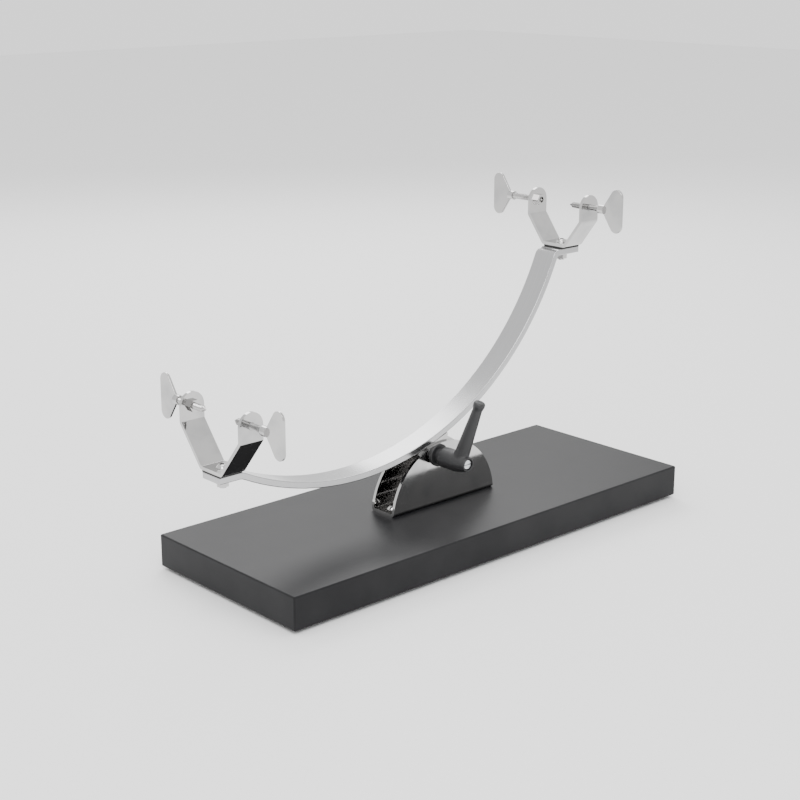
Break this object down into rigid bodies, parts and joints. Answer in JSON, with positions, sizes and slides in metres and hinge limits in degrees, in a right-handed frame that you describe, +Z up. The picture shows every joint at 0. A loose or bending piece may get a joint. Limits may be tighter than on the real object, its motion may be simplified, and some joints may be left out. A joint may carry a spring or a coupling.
{
  "type": "ham holder stand",
  "caption": "Ham holder stand: a flat board, a folded half-round bracket, a curved tilting arm with a screw clamp at each end, and a locking lever.",
  "frame": {"origin": "under the middle of the whole stand's bounding box, on the floor", "axes": "+X along the board from the low rump clamp to the high shank clamp, +Y away from the locking lever, +Z up"},
  "size_m": [0.5102, 0.195, 0.3226],
  "materials": {
    "board_lacquer": "satin black lacquer",
    "black_rubber": "matt",
    "polished_steel": "mirror-polished stainless steel",
    "black_plastic": "matt, fine grain",
    "zinc_steel": "zinc-plated",
    "spring_steel": "drawn wire"
  },
  "bodies": {
    "base": {"base_board": "board_lacquer", "rubber_feet": "black_rubber", "foot_screws": "zinc_steel", "board_inserts": "zinc_steel", "bracket": "polished_steel", "bracket_screws": "polished_steel", "pivot_nut": "zinc_steel"},
    "arm": {"arm_bar": "polished_steel", "saddle": "polished_steel", "pivot_bush": "polished_steel", "front_clamp": "polished_steel", "front_clamp_pad": "black_rubber", "front_clamp_screw": "polished_steel", "front_clamp_washer": "polished_steel", "front_clamp_nut": "polished_steel", "front_weld_nuts": "polished_steel", "rear_clamp": "polished_steel", "rear_clamp_pad": "black_rubber", "rear_clamp_screw": "polished_steel", "rear_clamp_washer": "polished_steel", "rear_clamp_nut": "polished_steel", "rear_weld_nuts": "polished_steel"},
    "collar": {"lever_collar": "black_plastic"},
    "stud": {"clamp_stud": "zinc_steel", "lever_insert": "zinc_steel", "lever_screw": "zinc_steel", "lever_spring": "spring_steel"},
    "lever": {"lever_handle": "black_plastic"},
    "front_near_screw": {"front_near_rod": "polished_steel"},
    "front_near_wing": {"front_near_wing": "polished_steel"},
    "front_far_screw": {"front_far_rod": "polished_steel"},
    "front_far_wing": {"front_far_wing": "polished_steel"},
    "rear_near_screw": {"rear_near_rod": "polished_steel"},
    "rear_near_wing": {"rear_near_wing": "polished_steel"},
    "rear_far_screw": {"rear_far_rod": "polished_steel"},
    "rear_far_wing": {"rear_far_wing": "polished_steel"}
  },
  "joints": [
    {"name": "arm_tilt", "type": "hinge", "parent": "base", "child": "arm", "pos_m": [-0.00342, 0, 0.0835], "axis": [0, 1, 0], "range_deg": [-2, 23]},
    {"name": "stud_travel", "type": "slide", "parent": "base", "child": "collar", "axis": [0, 1, 0], "range_m": [-0.00038194, 0]},
    {"name": "lever_turn", "type": "hinge", "parent": "collar", "child": "stud", "pos_m": [-0.00342, 0, 0.0835], "axis": [0, 1, 0], "range_deg": [-110, 0]},
    {"name": "lever_lift", "type": "slide", "parent": "stud", "child": "lever", "axis": [0, -1, 0], "range_m": [0, 0.0035], "stiffness_N_per_m": 1500, "springref_m": -0.002, "deforming": ["lever_spring"]},
    {"name": "front_near_travel", "type": "slide", "parent": "arm", "child": "front_near_screw", "axis": [0, 1, 0], "range_m": [-0.014, 0.015]},
    {"name": "front_near_turn", "type": "hinge", "parent": "front_near_screw", "child": "front_near_wing", "pos_m": [-0.24308, 0, 0.16866], "axis": [0, 1, 0], "range_deg": [-5044, 5404]},
    {"name": "front_far_travel", "type": "slide", "parent": "arm", "child": "front_far_screw", "axis": [0, -1, 0], "range_m": [-0.014, 0.015]},
    {"name": "front_far_turn", "type": "hinge", "parent": "front_far_screw", "child": "front_far_wing", "pos_m": [-0.24308, 0, 0.16866], "axis": [0, -1, 0], "range_deg": [-5044, 5404]},
    {"name": "rear_near_travel", "type": "slide", "parent": "arm", "child": "rear_near_screw", "axis": [0, 1, 0], "range_m": [-0.017, 0.0075]},
    {"name": "rear_near_turn", "type": "hinge", "parent": "rear_near_screw", "child": "rear_near_wing", "pos_m": [0.17907, 0, 0.30156], "axis": [0, 1, 0], "range_deg": [-6124, 2704]},
    {"name": "rear_far_travel", "type": "slide", "parent": "arm", "child": "rear_far_screw", "axis": [0, -1, 0], "range_m": [-0.0005, 0.025]},
    {"name": "rear_far_turn", "type": "hinge", "parent": "rear_far_screw", "child": "rear_far_wing", "pos_m": [0.17907, 0, 0.30156], "axis": [0, -1, 0], "range_deg": [-184, 9004]}
  ],
  "couplings": [
    {"joint": "lever_turn", "follows": "stud_travel", "rad_per_m": 5026.5},
    {"joint": "front_near_turn", "follows": "front_near_travel", "rad_per_m": 6283.2},
    {"joint": "front_far_turn", "follows": "front_far_travel", "rad_per_m": 6283.2},
    {"joint": "rear_near_turn", "follows": "rear_near_travel", "rad_per_m": 6283.2},
    {"joint": "rear_far_turn", "follows": "rear_far_travel", "rad_per_m": 6283.2}
  ]
}
